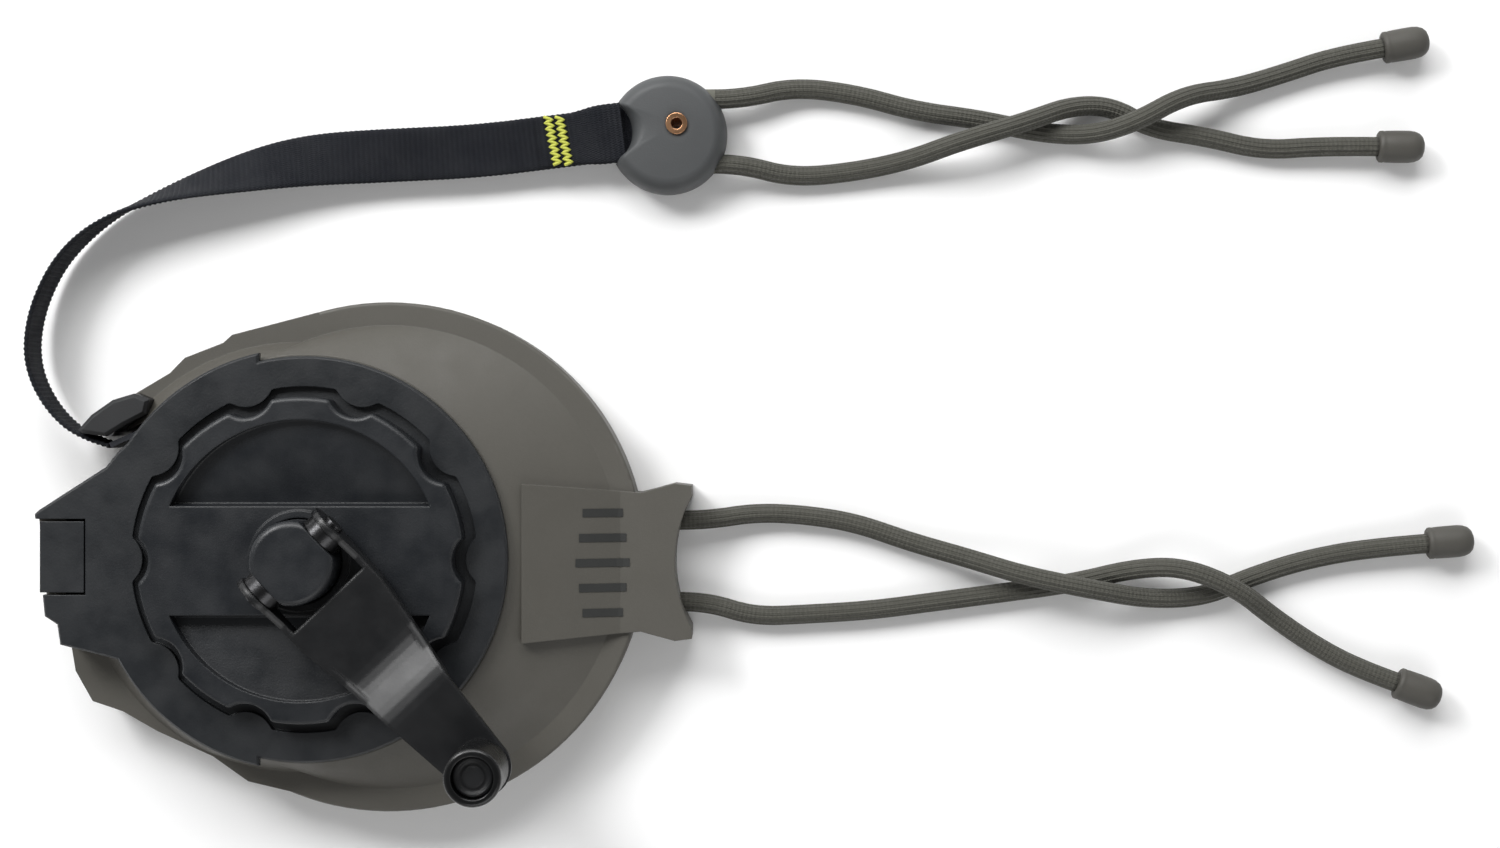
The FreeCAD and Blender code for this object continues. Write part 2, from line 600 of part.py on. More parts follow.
# ---------------------------------------------------------------- brake
def make_brake():
    top = size("top_z + bezel_thick")
    low = size("top_z + 0.25")
    pivot, tip, middle = size("brake_pivot"), size("brake_tip"), size("brake_y")
    half = size("brake_half")
    tongue = box(tip, pivot - 0.35, middle - half, middle + half, low, top)
    arm_half = size("brake_arm_half")
    web_top, web_low = size("top_z - 0.9"), size("top_z - roof + 0.2")
    axis_z = (web_top + web_low) / 2
    arm = box(pivot - 3, size("brake_arm_end"), middle - arm_half, middle + arm_half, web_low, web_top)
    neck = box(pivot - 3, pivot - 0.35, middle - arm_half, middle + arm_half, web_low, low + 0.1)
    barrel = Part.makeCylinder(1.15, 2 * arm_half, V(pivot, middle - arm_half, axis_z), V(0, 1, 0))
    lever = tongue.fuse(arm).fuse(neck).fuse(barrel)
    lever = lever.cut(brake_pin(size("brake_pin_radius + fit")))
    shaped("brake_lever", lever.removeSplitter())
    shaped("brake_pivot_pin", brake_pin(size("brake_pin_radius")))
    face = size("top_z - roof - 0.6 + 0.15")
    end = size("brake_arm_end")
    shaped("brake_pad", box(end - 3.2, end - 0.1, middle - arm_half + 0.4, middle + arm_half - 0.4,
                            face, web_low))
    turns, wire_radius, spring_radius = 5, 0.35, 2.1
    spring_low = size("split_z + 1.5 + 0.05")
    height = low - spring_low - 2 * wire_radius - 0.1
    helix = Part.makeHelix(height / turns, height, spring_radius)
    start = V(spring_radius, 0, 0)
    section = Part.Wire([Part.Circle(start, V(0, 1, 0), wire_radius).toShape()])
    spring = Part.Wire(helix.Edges).makePipeShell([section], True, True)
    spring.translate(V(tip + 4.0, middle, spring_low + wire_radius))
    shaped("brake_spring", spring)


# ---------------------------------------------------------------- tie cords and toggle
TIE_UPPER = places([(86.5, 8.3, 4.2), (92.8, 8.3, 4.2), (104.5, 10.1, 2.5), (116.4, 9.5, 2.4),
                    (128.4, 7.6, 2.4), (141.5, 3.0, 2.6), (154.5, -0.6, 4.2), (168.5, -4.8, 8.9),
                    (184.5, -8.0, 9.1), (198.5, -10.7, 3.6), (212.0, -10.2, 2.4), (222.5, -5.6, 2.4),
                    (235.5, -1.4, 2.5), (250.5, 1.5, 3.2), (265.2, 2.7, 3.9)])
TIE_LOWER = places([(86.5, -11.2, 4.2), (92.8, -11.2, 4.2), (104.0, -14.9, 2.5), (117.0, -14.3, 2.4),
                    (132.0, -13.4, 2.4), (147.0, -11.4, 2.4), (163.0, -9.3, 2.4), (180.0, -7.0, 2.4),
                    (195.0, -3.2, 4.2), (206.0, -2.6, 8.6), (218.5, -7.6, 9.1), (228.0, -14.8, 3.8),
                    (238.5, -21.9, 2.6), (248.5, -27.2, 3.2), (257.9, -30.6, 3.9)])
TOGGLE_UPPER = places([(94.7, 108.9, 5.2), (100.9, 108.9, 5.2), (113.5, 112.2, 2.5), (128.5, 110.4, 2.4),
                       (142.5, 106.4, 2.4), (158.5, 104.3, 2.4), (172.5, 101.1, 2.5), (184.5, 100.3, 4.3),
                       (194.5, 102.9, 8.7), (206.0, 109.4, 8.7), (218.5, 111.6, 3.4), (230.5, 115.2, 2.5),
                       (243.0, 119.4, 3.2), (254.6, 121.3, 3.9)])
TOGGLE_LOWER = places([(94.7, 93.4, 5.2), (100.9, 93.4, 5.2), (113.0, 90.4, 2.5), (127.5, 91.7, 2.4),
                       (141.0, 94.4, 3.6), (153.0, 98.5, 8.6), (168.5, 103.0, 8.9), (180.0, 107.6, 3.6),
                       (190.0, 107.5, 2.4), (199.0, 102.2, 2.4), (212.0, 100.3, 2.4), (226.0, 96.9, 2.4),
                       (240.0, 97.9, 3.2), (253.4, 97.7, 3.9)])
STRAP_EDGE = places([(-46.9, 26.2, 11.7), (-54.2, 28.3, 11.4), (-60.9, 33.7, 10.8), (-65.9, 41.6, 10.0),
                     (-67.6, 50.0, 9.2), (-65.8, 60.6, 8.2), (-60.2, 71.6, 7.4), (-50.5, 80.2, 6.9),
                     (-37.8, 85.8, 6.6)])
STRAP_FLAT = places([(-37.8, 85.8, 6.3), (-22.5, 90.3, 5.8), (-4.5, 94.2, 5.4), (16.0, 95.4, 5.3),
                     (38.0, 96.4, 5.3), (57.7, 98.9, 5.3), (76.5, 101.2, 5.3)])
COIL_END = [(-15.5, 39.9, 11.7), (-31.0, 33.2, 11.7), (-46.6, 26.35, 11.7)]


def make_cord_cap(name, route, radius, length):
    """A rubber end cap in line with the cord's last run, meeting its end face."""
    along = (route[-1] - route[-2]).normalize()
    cap = Part.makeCylinder(radius, length, route[-1], along)
    far = [e for e in cap.Edges if isinstance(e.Curve, Part.Circle)
           and (e.Curve.Center - route[-1]).Length > length / 2]
    return shaped(name, cap.makeFillet(1.4, far))


def make_tie_cords():
    radius = size("cord_radius")
    cap_radius, cap_length = size("cord_cap_radius"), size("cord_cap_length")
    shift = TIE_EXIT - TIE_UPPER[0].x
    shaped("tie_cord_bight", bend_tube(tie_bend(), radius))
    toggle_bend = bend_route(TOGGLE_EXIT, TOGGLE_LOW, TOGGLE_HIGH, size("toggle_bend_x"), size("toggle_z"))
    shaped("toggle_cord_bight", bend_tube(toggle_bend, radius))
    for name, route in (("tie_cord_upper", moved(TIE_UPPER, shift)),
                        ("tie_cord_lower", moved(TIE_LOWER, shift)),
                        ("toggle_cord_upper", TOGGLE_UPPER), ("toggle_cord_lower", TOGGLE_LOWER)):
        shaped(name, swept_round(route, radius, name))
        make_cord_cap(name.replace("cord", "cap"), route, cap_radius, cap_length)


def make_strap():
    thick, width = size("strap_thick"), size("strap_width")
    lead = V(*COIL_END[0])
    way = V(*COIL_END[-1]) - lead
    block = Part.makeBox(way.Length, thick, width, V(0, -thick / 2, -width / 2))
    block.rotate(V(0, 0, 0), V(0, 0, 1), math.degrees(math.atan2(way.y, way.x)))
    block.translate(lead)
    shaped("strap_lead", block)
    shaped("strap_edge", swept_ribbon(STRAP_EDGE, thick, width, "strap_edge"))
    shaped("strap_flat", swept_ribbon(STRAP_FLAT, width, thick, "strap_flat"))
    bars = []
    top = size("strap_deck") + thick / 2
    for start in (54.8, 58.6):
        bar = box(start, start + 0.9, 93.6, 103.4, top, top + 0.3)
        bar.rotate(V(start, 98.5, 0), V(0, 0, 1), 7)
        bars.append(bar)
    shaped("strap_stitching", Part.makeCompound(bars))


def make_toggle():
    x, y, radius = size("toggle_x"), size("toggle_y"), size("toggle_radius")
    split, height = size("toggle_z"), size("toggle_height")
    dome_radius = (radius ** 2 + 5.0 ** 2) / (2 * 5.0)
    disc = cylinder(radius, 0.6, height, x, y)
    dome = Part.makeSphere(dome_radius, V(x, y, height - dome_radius))
    disc = disc.common(dome)
    bite = cylinder(size("toggle_bite"), 0, height + 1, x - radius - 2.6, y + 0.6)
    slot_half = size("strap_width / 2 + 1.35")
    slot = box(x - radius - 5, 77.0, y + 1 - slot_half, y + 1 + slot_half, split - 0.8, split + 0.9)
    disc = disc.cut(bite).cut(slot).cut(cylinder(size("rivet_radius") + 0.03, 0, 20, size("rivet_x"),
                                                 size("rivet_y")))
    bend = bend_route(TOGGLE_EXIT + 6, TOGGLE_LOW, TOGGLE_HIGH, size("toggle_bend_x"), split)
    disc = disc.cut(bend_tube(bend, size("cord_radius + 0.1")))
    shaped("toggle_rear", disc.common(box(50, 110, 80, 120, 0, split - 0.01)))
    shaped("toggle_front", disc.common(box(50, 110, 80, 120, split, 20)))
    flange = size("rivet_radius + rivet_flange")
    top = height
    rivet = cylinder(size("rivet_radius"), 0.4, top + 0.3, size("rivet_x"), size("rivet_y"))
    rivet = rivet.fuse(cylinder(flange, top + 0.02, top + 0.5, size("rivet_x"), size("rivet_y")))
    rivet = rivet.fuse(cylinder(flange, 0.1, 0.58, size("rivet_x"), size("rivet_y")))
    rivet = rivet.cut(cylinder(size("rivet_hole"), 0, 20, size("rivet_x"), size("rivet_y")))
    shaped("toggle_rivet", rivet)


make_rear_shell()
make_front_shell()
make_bezel_plate()
make_drum_cap()
make_strap_guide()
make_bushings()
make_shell_screws()
make_spool()
make_axle()
make_boss()
make_crank()
make_knob()
make_brake()
make_tie_cords()
make_strap()
make_toggle()

doc.recompute()
faulty = [item.Label for item in doc.Objects if "Invalid" in item.State or "Error" in item.State]
if faulty:
    raise RuntimeError(f"these objects did not compute: {faulty}")
pieces = [item for item in doc.Objects
          if item.TypeId in ("PartDesign::Body", "Part::Feature", "Part::Cylinder")
          and not item.getParentGeoFeatureGroup()]
for piece in pieces:
    if piece.Shape.isNull() or not piece.Shape.isValid():
        raise RuntimeError(f"{piece.Label} has no sound shape")
os.makedirs("parts", exist_ok=True)
for piece in pieces:
    piece.Shape.exportStep(f"parts/{piece.Label}.step")
    print(f"{piece.Label}: {len(piece.Shape.Solids)} solid(s), {piece.Shape.Volume:.1f} mm3")
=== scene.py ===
# %% [markdown]
# # A hand-crank gear hoist
# The hoist is a round housing with a spool of webbing inside. A folding crank winds the strap, a grey
# toggle holds the load, and two pairs of elastic cords tie it to a tree and to the gear.
# The housing, the crank and everything that moves are finished solids in the frame. This file gives them
# their finishes, and makes the soft pieces: the strap, the cords, the end caps and the stitching.
# Everything is in metres, and one millimetre gets a name of its own because most sizes here are small.

# %% Load the frame
import json
import math
import bpy
import bmesh
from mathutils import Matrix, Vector


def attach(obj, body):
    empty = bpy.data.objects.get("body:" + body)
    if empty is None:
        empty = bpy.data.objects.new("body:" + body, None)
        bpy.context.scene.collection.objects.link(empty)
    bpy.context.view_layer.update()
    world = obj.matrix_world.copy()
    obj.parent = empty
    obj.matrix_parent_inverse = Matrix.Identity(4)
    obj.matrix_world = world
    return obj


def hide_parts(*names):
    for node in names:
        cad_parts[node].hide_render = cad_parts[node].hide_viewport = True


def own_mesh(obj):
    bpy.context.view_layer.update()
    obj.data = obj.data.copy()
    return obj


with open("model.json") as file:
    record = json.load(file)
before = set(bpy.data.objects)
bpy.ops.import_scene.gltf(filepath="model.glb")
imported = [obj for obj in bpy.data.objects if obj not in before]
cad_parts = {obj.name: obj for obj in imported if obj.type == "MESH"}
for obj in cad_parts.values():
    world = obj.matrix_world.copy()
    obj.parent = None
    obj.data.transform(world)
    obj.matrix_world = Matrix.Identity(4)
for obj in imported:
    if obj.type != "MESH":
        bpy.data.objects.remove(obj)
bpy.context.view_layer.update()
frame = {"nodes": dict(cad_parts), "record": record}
MM = 0.001
UP = Vector((0, 0, 1))
print("nodes in the frame:", len(frame["nodes"]))

# %% [markdown]
# ## The camera
# The hoist lies on its back, and is looked at from straight above, from about arm's length. A lens of
# about 60 mm on a 36 mm sensor shows it with little perspective, so the knob leans outward only slightly.

# %% Place the camera
LENS = 59.76
CAMERA_PLACE = (0.103, 0.0313, 0.600)
camera_data = bpy.data.cameras.new("overhead")
camera_data.sensor_width = 36
camera_data.lens = LENS
camera_data.clip_start = 0.01
camera = bpy.data.objects.new("overhead", camera_data)
bpy.context.scene.collection.objects.link(camera)
camera.location = CAMERA_PLACE
camera.rotation_euler = (0, 0, 0)
bpy.context.scene.camera = camera
print("camera at", CAMERA_PLACE, "with a", LENS, "mm lens")

# %% [markdown]
# ## A smooth line for every cord
# Elastic cord and webbing bend in long smooth curves. A NURBS line does this from few points: it is
# pulled towards each point and never kinks. The points below are the route, in millimetres. Where one
# leg crosses over the other, two points stand higher, one on each side of the crossing.

# %% Routes and the smooth line
def in_metres(rows):
    return [Vector(row) * MM for row in rows]


def smooth_line(name, points):
    """Read evenly spread points along the NURBS line that the route's points control."""
    data = bpy.data.curves.new(name + "_line", "CURVE")
    data.dimensions = "3D"
    data.resolution_u = 24
    spline = data.splines.new("NURBS")
    spline.points.add(len(points) - 1)
    for place, point in zip(spline.points, points):
        place.co = (*point, 1.0)
    spline.order_u = 3
    spline.use_endpoint_u = True
    line = bpy.data.objects.new(name + "_line", data)
    mesh = bpy.data.meshes.new_from_object(line)
    path = [vertex.co.copy() for vertex in mesh.vertices]
    bpy.data.objects.remove(line)
    bpy.data.curves.remove(data)
    bpy.data.meshes.remove(mesh)
    return path


def path_length(path):
    return sum((b - a).length for a, b in zip(path, path[1:]))


def walk(path, step):
    """Points every step along a path, with the distance of each from its start."""
    total = path_length(path)
    count = max(2, round(total / step))
    marks = [total * k / count for k in range(count + 1)]
    found, travelled, index = [], 0.0, 0
    for mark in marks:
        while index < len(path) - 2 and travelled + (path[index + 1] - path[index]).length < mark:
            travelled += (path[index + 1] - path[index]).length
            index += 1
        run = path[index + 1] - path[index]
        share = (mark - travelled) / max(run.length, 1e-9)
        found.append((mark, path[index] + run * min(share, 1.0)))
    return found


TIE_UPPER = in_metres([
    (86.5, 8.3, 4.2), (92.8, 8.3, 4.2), (104.5, 10.1, 2.5), (116.4, 9.5, 2.4), (128.4, 7.6, 2.4),
    (141.5, 3.0, 2.6), (154.5, -0.6, 4.2), (168.5, -4.8, 8.9), (184.5, -8.0, 9.1), (198.5, -10.7, 3.6),
    (212.0, -10.2, 2.4), (222.5, -5.6, 2.4), (235.5, -1.4, 2.5), (250.5, 1.5, 3.2), (265.2, 2.7, 3.9)])
TIE_LOWER = in_metres([
    (86.5, -11.2, 4.2), (92.8, -11.2, 4.2), (104.0, -14.9, 2.5), (117.0, -14.3, 2.4), (132.0, -13.4, 2.4),
    (147.0, -11.4, 2.4), (163.0, -9.3, 2.4), (180.0, -7.0, 2.4), (195.0, -3.2, 4.2), (206.0, -2.6, 8.6),
    (218.5, -7.6, 9.1), (228.0, -14.8, 3.8), (238.5, -21.9, 2.6), (248.5, -27.2, 3.2), (257.9, -30.6, 3.9)])
TOGGLE_UPPER = in_metres([
    (94.7, 108.9, 5.2), (100.9, 108.9, 5.2), (113.5, 112.2, 2.5), (128.5, 110.4, 2.4), (142.5, 106.4, 2.4),
    (158.5, 104.3, 2.4), (172.5, 101.1, 2.5), (184.5, 100.3, 4.3), (194.5, 102.9, 8.7), (206.0, 109.4, 8.7),
    (218.5, 111.6, 3.4), (230.5, 115.2, 2.5), (243.0, 119.4, 3.2), (254.6, 121.3, 3.9)])
TOGGLE_LOWER = in_metres([
    (94.7, 93.4, 5.2), (100.9, 93.4, 5.2), (113.0, 90.4, 2.5), (127.5, 91.7, 2.4), (141.0, 94.4, 3.6),
    (153.0, 98.5, 8.6), (168.5, 103.0, 8.9), (180.0, 107.6, 3.6), (190.0, 107.5, 2.4), (199.0, 102.2, 2.4),
    (212.0, 100.3, 2.4), (226.0, 96.9, 2.4), (240.0, 97.9, 3.2), (253.4, 97.7, 3.9)])
STRAP = in_metres([
    (-46.9, 26.2, 11.7), (-54.2, 28.3, 11.4), (-60.9, 33.7, 10.8), (-65.9, 41.6, 10.0), (-67.6, 50.0, 9.2),
    (-65.8, 60.6, 8.2), (-60.2, 71.6, 7.4), (-50.5, 80.2, 6.9), (-37.8, 85.8, 6.6), (-22.5, 90.3, 6.4),
    (-4.5, 94.2, 5.6), (16.0, 95.4, 5.3), (38.0, 96.4, 5.3), (57.7, 98.9, 5.3), (76.5, 101.2, 5.3)])

# %% [markdown]
# ## Skinning a line
# A cord is a ring of points carried along its line, and a strap is a flat loop of points carried the same
# way. The carried frame must not spin, so each step only tips it as far as the line turns. Two numbers
# are stored with each face corner: how far round, and how far along. The finishes weave with them.

# %% Carry a section along a line
def carried_frames(stations):
    """For each station: its distance, place, and two directions square to the line."""
    places = [place for _, place in stations]
    frames = []
    side = None
    for number, (mark, place) in enumerate(stations):
        before = places[max(number - 1, 0)]
        after = places[min(number + 1, len(places) - 1)]
        ahead = (after - before).normalized()
        if side is None:
            side = UP.cross(ahead).normalized()
        side = (side - ahead * side.dot(ahead)).normalized()
        frames.append((mark, place, side, ahead.cross(side)))
    return frames


def skin(name, rings, marks, closed_ends=True):
    """A closed mesh over rings that all have the same number of points."""
    mesh = bpy.data.meshes.new(name)
    around = len(rings[0])
    points = [point for ring in rings for point in ring]
    faces = []
    for row in range(len(rings) - 1):
        for column in range(around):
            following = (column + 1) % around
            faces.append((row * around + column, row * around + following,
                          (row + 1) * around + following, (row + 1) * around + column))
    if closed_ends:
        faces.append(tuple(reversed(range(around))))
        last = (len(rings) - 1) * around
        faces.append(tuple(range(last, last + around)))
    mesh.from_pydata(points, [], faces)
    layer = mesh.uv_layers.new(name="weave")
    for face in mesh.polygons:
        columns = [mesh.loops[i].vertex_index % around for i in face.loop_indices]
        wraps = len(columns) == 4 and 0 in columns and around - 1 in columns
        for i in face.loop_indices:
            vertex = mesh.loops[i].vertex_index
            column = vertex % around
            turn = 1.0 if wraps and column == 0 else column / around
            layer.data[i].uv = (turn, marks[vertex // around])
        face.use_smooth = len(columns) == 4
    mesh.update()
    piece = bpy.data.objects.new(name, mesh)
    bpy.context.scene.collection.objects.link(piece)
    return piece


# %% [markdown]
# ## Finishes
# Every finish starts from the same three things: a colour that drifts a little from place to place, a
# roughness that drifts too, and a fine grain that catches the light. The softened edge is worked out in
# the finish, as a moulded or pressed edge is never quite sharp.

# %% A base for every finish
def add_math(nodes, links, kind, first, second=None):
    node = nodes.new("ShaderNodeMath")
    node.operation = kind
    for socket, value in zip(node.inputs, (first, second)):
        if value is None:
            continue
        if isinstance(value, (int, float)):
            socket.default_value = value
        else:
            links.new(value, socket)
    return node.outputs[0]


def finish_of(name, colour, drift=0.12, drift_size=0.012, rough=(0.45, 0.6), grain=0.0004, depth=0.00002,
              metal=0.0, edge=0.0003, coat=0.0, sheen=0.0, specular=0.5, height=None):
    """A material; colour drifts by a share of itself, and grain is the size of its finest bumps."""
    material = bpy.data.materials.new(name)
    material.use_nodes = True
    nodes, links = material.node_tree.nodes, material.node_tree.links
    shader = nodes["Principled BSDF"]
    shader.inputs["Metallic"].default_value = metal
    shader.inputs["Coat Weight"].default_value = coat
    shader.inputs["Coat Roughness"].default_value = 0.12
    shader.inputs["Sheen Weight"].default_value = sheen
    shader.inputs["Specular IOR Level"].default_value = specular
    place = nodes.new("ShaderNodeTexCoord").outputs["Object"]

    def cloud(size, detail=3):
        noise = nodes.new("ShaderNodeTexNoise")
        noise.inputs["Scale"].default_value = 1 / size
        noise.inputs["Detail"].default_value = detail
        links.new(place, noise.inputs["Vector"])
        return noise.outputs["Fac"]

    mix = nodes.new("ShaderNodeMix")
    mix.data_type = "RGBA"
    mix.inputs[6].default_value = (*[c * (1 - drift) for c in colour], 1)
    mix.inputs[7].default_value = (*[c * (1 + drift) for c in colour], 1)
    both = add_math(nodes, links, "MULTIPLY", cloud(drift_size), 0.6)
    fine = add_math(nodes, links, "MULTIPLY_ADD", cloud(grain * 2, 2), 0.4)
    links.new(both, fine.node.inputs[2])
    links.new(fine, mix.inputs[0])
    links.new(mix.outputs[2], shader.inputs["Base Color"])
    spread = nodes.new("ShaderNodeMapRange")
    spread.inputs["From Min"].default_value = 0.3
    spread.inputs["From Max"].default_value = 0.7
    spread.inputs["To Min"].default_value = rough[0]
    spread.inputs["To Max"].default_value = rough[1]
    links.new(cloud(drift_size * 0.6), spread.inputs["Value"])
    links.new(spread.outputs[0], shader.inputs["Roughness"])
    bump = nodes.new("ShaderNodeBump")
    bump.inputs["Strength"].default_value = 1.0
    bump.inputs["Distance"].default_value = depth
    relief = cloud(grain, 2) if height is None else height(nodes, links, cloud)
    links.new(relief, bump.inputs["Height"])
    if edge:
        soft = nodes.new("ShaderNodeBevel")
        soft.samples = 6
        soft.inputs["Radius"].default_value = edge
        links.new(soft.outputs[0], bump.inputs["Normal"])
    links.new(bump.outputs[0], shader.inputs["Normal"])
    return material


# %% [markdown]
# The cord's sleeve is braided and the strap is woven in close ribs. Both patterns are far finer than a
# mesh should be, so they are waves in the finish: two that cross for the braid, and for the webbing one
# across and one along.

# %% Reliefs of the braided sleeve and the webbing
BRAID_STRANDS = 14
BRAID_PITCH = 2.1 * MM
WEB_THREADS = 52
RIB_PITCH = 1.25 * MM


def braid(nodes, links, cloud):
    """Relief of a braided sleeve: strands that run both ways round the cord."""
    weave = nodes.new("ShaderNodeUVMap")
    weave.uv_map = "weave"
    split = nodes.new("ShaderNodeSeparateXYZ")
    links.new(weave.outputs[0], split.inputs[0])
    turn = add_math(nodes, links, "MULTIPLY", split.outputs[0], math.tau * BRAID_STRANDS)
    along = add_math(nodes, links, "MULTIPLY", split.outputs[1], math.tau / BRAID_PITCH)
    left = add_math(nodes, links, "SINE", add_math(nodes, links, "ADD", turn, along))
    right = add_math(nodes, links, "SINE", add_math(nodes, links, "SUBTRACT", turn, along))
    crossed = add_math(nodes, links, "MULTIPLY", left, right)
    fuzz = add_math(nodes, links, "MULTIPLY", cloud(0.00025, 2), 0.8)
    return add_math(nodes, links, "ADD", crossed, fuzz)


def grosgrain(nodes, links, cloud):
    """Relief of plain webbing: close ribs across the strap, with fine threads along it."""
    weave = nodes.new("ShaderNodeUVMap")
    weave.uv_map = "weave"
    split = nodes.new("ShaderNodeSeparateXYZ")
    links.new(weave.outputs[0], split.inputs[0])
    threads = add_math(nodes, links, "SINE",
                       add_math(nodes, links, "MULTIPLY", split.outputs[0], math.tau * WEB_THREADS))
    ribs = add_math(nodes, links, "SINE",
                    add_math(nodes, links, "MULTIPLY", split.outputs[1], math.tau / RIB_PITCH))
    both = add_math(nodes, links, "MULTIPLY", threads, ribs)
    fuzz = add_math(nodes, links, "MULTIPLY", cloud(0.0003, 2), 0.9)
    return add_math(nodes, links, "ADD", both, fuzz)


# %% The finishes themselves
olive_shell = finish_of("olive_shell", (0.071, 0.067, 0.057), drift=0.10, rough=(0.50, 0.62), grain=0.0005,
                        depth=0.00003)
black_plate = finish_of("black_plate", (0.0065, 0.0080, 0.0100), drift=0.3, rough=(0.38, 0.56),
                        grain=0.0006, depth=0.00003)
black_cap = finish_of("black_cap", (0.0060, 0.0075, 0.0098), drift=0.3, rough=(0.34, 0.52), grain=0.0005,
                      depth=0.00003, edge=0.0006)
dark_guide = finish_of("dark_guide", (0.0085, 0.0092, 0.0105), rough=(0.50, 0.62))
black_steel = finish_of("black_steel", (0.0018, 0.0022, 0.0030), drift=0.3, rough=(0.34, 0.44),
                        grain=0.0009, depth=0.000012, coat=0.12, edge=0.0012)
bright_steel = finish_of("bright_steel", (0.42, 0.42, 0.43), rough=(0.25, 0.4), metal=1.0, grain=0.0003,
                         depth=0.00001)
dark_steel = finish_of("dark_steel", (0.05, 0.05, 0.052), rough=(0.22, 0.4), metal=1.0, grain=0.0004,
                       depth=0.00002)
spool_plastic = finish_of("spool_plastic", (0.05, 0.05, 0.05))
knob_plastic = finish_of("knob_plastic", (0.0022, 0.0024, 0.0026), rough=(0.22, 0.32),
                         depth=0.00001, edge=0.0005)
webbing = finish_of("black_webbing", (0.0050, 0.0062, 0.0098), drift=0.3, rough=(0.72, 0.9), depth=0.00009,
                    edge=0, specular=0.3, height=grosgrain)
thread = finish_of("stitch_thread", (0.46, 0.48, 0.07), drift=0.2, drift_size=0.002, rough=(0.6, 0.8),
                   grain=0.0002, depth=0.00005, edge=0)
grey_toggle = finish_of("grey_toggle", (0.050, 0.053, 0.055), drift=0.08, rough=(0.50, 0.62), grain=0.0004,
                        depth=0.00003)
copper = finish_of("copper_rivet", (0.72, 0.40, 0.22), rough=(0.2, 0.35), metal=1.0, grain=0.0003,
                   depth=0.00001)
cord_sleeve = finish_of("olive_cord", (0.062, 0.061, 0.050), drift=0.18, drift_size=0.004,
                        rough=(0.75, 0.9), depth=0.00010, edge=0, sheen=0.08, height=braid)
cap_rubber = finish_of("cap_rubber", (0.060, 0.057, 0.049), drift=0.1, rough=(0.55, 0.7), grain=0.0004,
                       depth=0.00003, edge=0)

# %% [markdown]
# ## Elastic cords
# Each leg is a rubber core in a braided sleeve. Pulled over the core, the sleeve shows soft ribs along
# its length, so the section is a circle with shallow waves that wind slowly round. The braid itself is
# too fine for the mesh and lives in the finish.

# %% Make the four legs
CORD_RADIUS = 2.35 * MM
CORD_RIBS = 12
POINTS_PER_RIB = 5
RIB_TWIST = 9.0
GROOVE_SHARE, RIB_SHARE = 0.885, 0.12
CORD_STEP = 0.9 * MM


def cord_ring(mark, place, side, lift):
    """The sleeve's section: a circle with shallow ribs that wind slowly round."""
    count = CORD_RIBS * POINTS_PER_RIB
    ring = []
    for number in range(count):
        turn = math.tau * number / count
        wave = abs(math.sin(CORD_RIBS * turn / 2 + mark * RIB_TWIST))
        radius = CORD_RADIUS * (GROOVE_SHARE + RIB_SHARE * wave)
        ring.append(place + (side * math.cos(turn) + lift * math.sin(turn)) * radius)
    return ring


def make_leg(name, route):
    path = smooth_line(name, route)
    frames = carried_frames(walk(path, CORD_STEP))
    leg = skin(name, [cord_ring(*station) for station in frames], [mark for mark, *_ in frames])
    leg.data.materials.append(cord_sleeve)
    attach(leg, "housing")
    print(name, "is", round(path_length(path) / MM, 1), "mm long")
    return leg, path


# %% [markdown]
# A moulded cap closes each leg. It is turned like a small thimble: a short lip, a straight body and a
# domed end. One profile is spun round the cord's last direction.

# %% Make the end caps
CAP_POINTS_ROUND = 48
CAP_PROFILE = [(2.45, -0.1), (3.35, -0.1), (3.75, 0.25), (3.82, 0.9), (3.72, 1.3), (3.80, 1.8), (3.86, 4.6),
               (3.84, 7.2), (3.66, 8.5), (3.20, 9.6), (2.45, 10.35), (1.50, 10.72), (0.60, 10.78)]


def make_end_cap(name, path):
    ahead = (path[-1] - path[-3]).normalized()
    side = UP.cross(ahead).normalized()
    lift = ahead.cross(side)
    turns = [math.tau * n / CAP_POINTS_ROUND for n in range(CAP_POINTS_ROUND)]
    rings = [[path[-1] + ahead * along * MM
              + (side * math.cos(turn) + lift * math.sin(turn)) * radius * MM for turn in turns]
             for radius, along in CAP_PROFILE]
    cap = skin(name, rings, [along * MM for _, along in CAP_PROFILE])
    cap.data.materials.append(cap_rubber)
    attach(cap, "housing")
    return cap


for owner, side_name, route in (("tie", "upper", TIE_UPPER), ("tie", "lower", TIE_LOWER),
                                ("toggle", "upper", TOGGLE_UPPER), ("toggle", "lower", TOGGLE_LOWER)):
    leg, path = make_leg(f"{owner}_leg_{side_name}", route)
    cap = make_end_cap(f"{owner}_end_cap_{side_name}", path)
    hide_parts(f"{owner}_cord_{side_name}")
    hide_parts(f"{owner}_cap_{side_name}")

# %% [markdown]
# ## The strap
# The strap is flat webbing, 12.7 mm wide. It leaves the mouth standing on its edge, and by the time it
# reaches the toggle it lies flat, so it turns a quarter of the way round in between. The section is a
# thin loop whose long sides are rippled by the woven ribs. A second layer folds back over the last
# stretch, where the strap is doubled and sewn.

# %% Make the strap
STRAP_WIDTH = 12.7 * MM
STRAP_THICK = 1.05 * MM
RIB_HEIGHT = 0.13 * MM
EDGE_THINNING = 0.45
STRAP_STEP = 0.25 * MM
STEPS_ACROSS = 15
TURN_START, TURN_END = 58 * MM, 142 * MM


def eased(share):
    share = min(max(share, 0.0), 1.0)
    return share * share * (3 - 2 * share)


